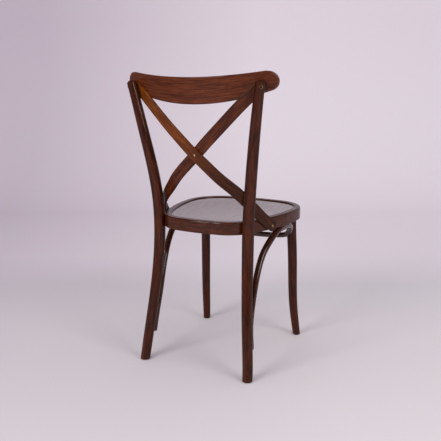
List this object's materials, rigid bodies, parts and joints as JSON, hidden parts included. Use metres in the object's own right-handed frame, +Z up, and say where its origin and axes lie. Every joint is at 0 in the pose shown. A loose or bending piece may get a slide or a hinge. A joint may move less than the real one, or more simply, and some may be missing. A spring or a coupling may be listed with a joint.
{
  "type": "cross back chair",
  "caption": "Armless wooden dining chair with a bowed top rail, two bent strips crossing in the back, a rounded rimmed seat and a bent hoop bracing the legs below it.",
  "frame": {"origin": "middle of the bounding box's base, on the floor between the four feet", "axes": "+Z up, the chair faces -Y, +X to the sitter's left, mirror plane X = 0"},
  "size_m": [0.4764, 0.4706, 0.8847],
  "materials": {
    "ring_wood": "dark stained bent wood rim, satin lacquer",
    "panel_wood": "dark stained seat board, satin lacquer",
    "leg_wood": "dark stained bent legs, satin lacquer",
    "rail_wood": "dark stained rail, satin lacquer",
    "strip_wood": "dark stained bent strips, satin lacquer",
    "hoop_wood": "dark stained bent hoop, satin lacquer",
    "brass_fastener": "dulled brass plated fastener",
    "plated_steel": "zinc plated steel",
    "glide_plastic": "dark nylon glide"
  },
  "bodies": {
    "root": {"seat_ring": "ring_wood", "seat_panel": "panel_wood", "rear_leg_left": "leg_wood", "rear_leg_right": "leg_wood", "front_leg_left": "leg_wood", "front_leg_right": "leg_wood", "top_rail": "rail_wood", "cross_strip_outer": "strip_wood", "cross_strip_inner": "strip_wood", "leg_hoop": "hoop_wood", "rail_bolt_left": "brass_fastener", "rail_bolt_right": "brass_fastener", "rail_nut_left": "brass_fastener", "rail_nut_right": "brass_fastener", "cross_rivet": "brass_fastener", "strip_screw_left": "brass_fastener", "strip_screw_right": "brass_fastener", "leg_bolts": "plated_steel", "leg_washers": "plated_steel", "leg_nuts": "plated_steel", "hoop_rear_screws": "brass_fastener", "hoop_front_screws": "brass_fastener", "hoop_seat_screws": "brass_fastener", "front_leg_screws": "plated_steel", "glide_rear_left": "glide_plastic", "glide_rear_right": "glide_plastic", "glide_front_left": "glide_plastic", "glide_front_right": "glide_plastic"}
  },
  "joints": []
}
